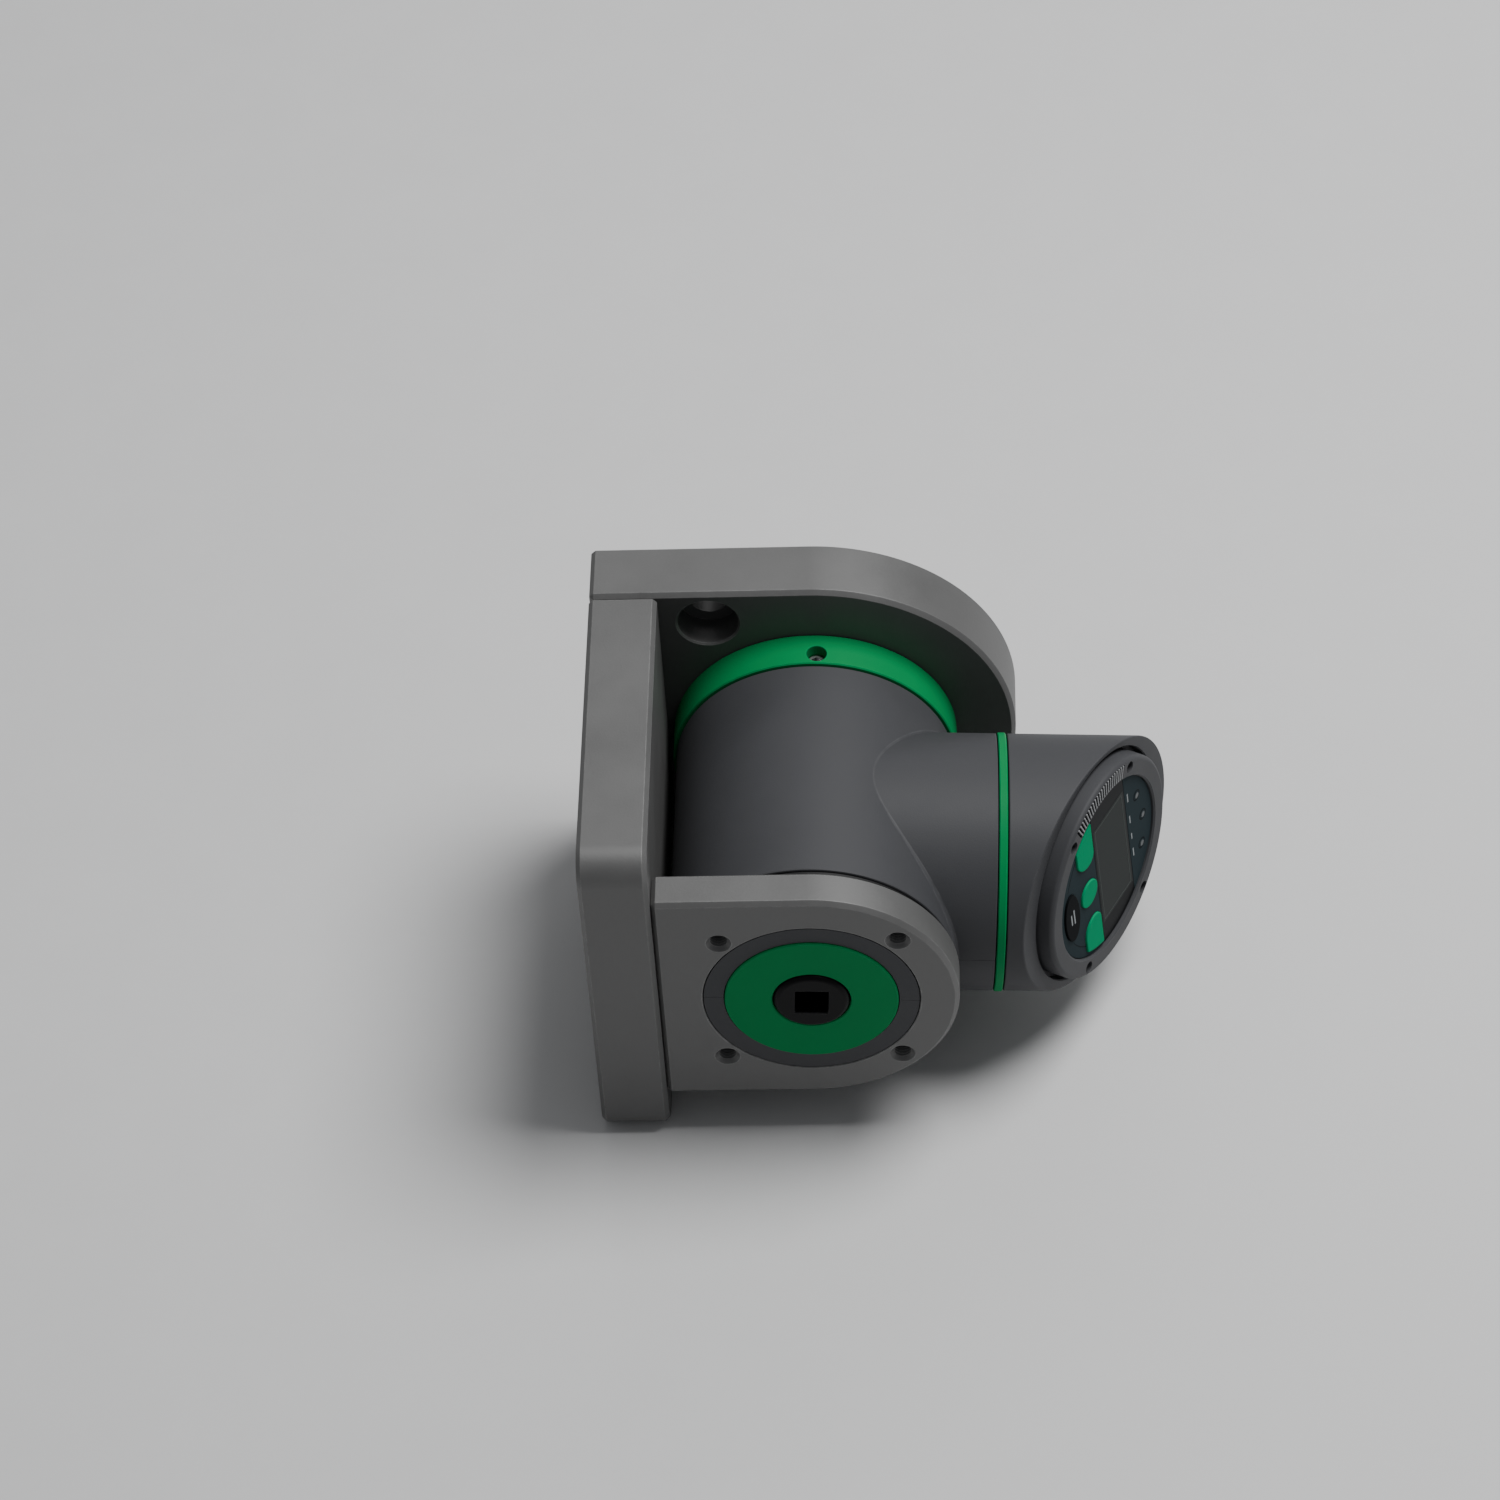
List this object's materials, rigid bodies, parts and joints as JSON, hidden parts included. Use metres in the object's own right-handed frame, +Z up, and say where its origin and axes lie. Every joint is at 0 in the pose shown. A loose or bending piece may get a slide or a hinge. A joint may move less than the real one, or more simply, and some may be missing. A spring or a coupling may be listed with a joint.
{
  "type": "torque wrench tester",
  "caption": "A U-shaped steel bracket holds a torsion transducer with a square drive socket; a turning housing round it carries a swivelling head with a slanted display and keypad.",
  "frame": {"origin": "middle of the box, at the surface that the two big plates' lower edges rest on", "axes": "+X along the neck towards the display head, -Y out of the drive socket, +Z up"},
  "size_m": [0.168, 0.1254, 0.12],
  "materials": {
    "plate_steel": "fine matte ground steel",
    "case_plastic": "dark grey moulded plastic with a fine texture",
    "green_finish": "satin green anodised metal",
    "black_steel": "satin black oxide",
    "bright_steel": "ground steel",
    "slide_plastic": "black sliding plastic",
    "board_green": "green circuit board",
    "cell_wrap": "shrink sleeve",
    "lead_rubber": "black insulation",
    "sheet_grey": "satin blue-grey keypad sheet",
    "window_glass": "dark tinted window",
    "display_grey": "display glass in its frame",
    "key_green": "satin green keys",
    "key_black": "satin black key",
    "led_clear": "clear light guides, unlit",
    "gauge_foil": "foil strain gauge"
  },
  "bodies": {
    "bracket": {"side_plate": "plate_steel", "back_plate": "plate_steel", "front_arm": "plate_steel", "plate_screw_1": "black_steel", "plate_screw_2": "black_steel", "plate_screw_3": "black_steel", "arm_screw_1": "black_steel", "arm_screw_2": "black_steel", "dowel_pin_1": "bright_steel", "dowel_pin_2": "bright_steel", "drive_hub": "black_steel", "hub_disc": "green_finish", "torsion_shaft": "bright_steel", "strain_gauge_1": "gauge_foil", "strain_gauge_2": "gauge_foil", "flange_screw_1": "black_steel", "flange_screw_2": "black_steel", "flange_screw_3": "black_steel", "flange_screw_4": "black_steel"},
    "housing": {"housing_upper": "case_plastic", "housing_lower": "case_plastic", "housing_screw_1": "black_steel", "housing_screw_2": "black_steel", "housing_screw_3": "black_steel", "housing_screw_4": "black_steel", "slide_washer": "slide_plastic", "rear_ring": "green_finish", "ring_screw_1": "black_steel", "ring_screw_2": "black_steel", "ring_screw_3": "black_steel", "main_board": "board_green", "battery_cell": "cell_wrap", "battery_holder": "slide_plastic", "lead_housing": "lead_rubber", "neck_band": "green_finish", "swivel_bush": "slide_plastic", "swivel_circlip": "bright_steel"},
    "lock_screw": {"lock_screw": "bright_steel"},
    "head": {"head_shell": "case_plastic", "usb_port": "bright_steel", "bezel": "case_plastic", "bezel_screw_1": "bright_steel", "bezel_screw_2": "bright_steel", "bezel_screw_3": "bright_steel", "bezel_screw_4": "bright_steel", "keypad_sheet": "sheet_grey", "display_window": "window_glass", "status_sheet": "sheet_grey", "display_module": "display_grey", "display_board": "board_green", "key_domes": "bright_steel", "led_light_1": "led_clear", "led_light_2": "led_clear", "led_light_3": "led_clear", "buzzer": "slide_plastic", "lead_head": "lead_rubber"},
    "key_left": {"key_left": "key_green"},
    "key_right": {"key_right": "key_green"},
    "key_centre": {"key_centre": "key_green"},
    "key_power": {"key_power": "key_black"}
  },
  "joints": [
    {"name": "housing_turn", "type": "hinge", "parent": "bracket", "child": "housing", "pos_m": [-0.01999, -0.00825, 0.06], "axis": [0, 1, 0], "range_deg": [-92.8, 87.2]},
    {"name": "lock_screw_turn", "type": "hinge", "parent": "housing", "child": "lock_screw", "pos_m": [-0.01999, 0.03495, 0.06], "axis": [0.0489, 0, 0.9988], "range_deg": [0, 360]},
    {"name": "head_turn", "type": "hinge", "parent": "housing", "child": "head", "pos_m": [-0.01999, -0.00825, 0.06], "axis": [0.9988, 0, -0.0489], "range_deg": [-151.7, 178.3]},
    {"name": "key_left_press", "type": "slide", "parent": "head", "child": "key_left", "axis": [-0.8698, 0.4881, -0.073], "range_m": [0, 0.0005], "stiffness_N_per_m": 1500, "springref_m": -0.0001},
    {"name": "key_right_press", "type": "slide", "parent": "head", "child": "key_right", "axis": [-0.8698, 0.4881, -0.073], "range_m": [0, 0.0005], "stiffness_N_per_m": 1500, "springref_m": -0.0001},
    {"name": "key_centre_press", "type": "slide", "parent": "head", "child": "key_centre", "axis": [-0.8698, 0.4881, -0.073], "range_m": [0, 0.0005], "stiffness_N_per_m": 1500, "springref_m": -0.0001},
    {"name": "key_power_press", "type": "slide", "parent": "head", "child": "key_power", "axis": [-0.8698, 0.4881, -0.073], "range_m": [0, 0.0005], "stiffness_N_per_m": 1500, "springref_m": -0.0001}
  ]
}
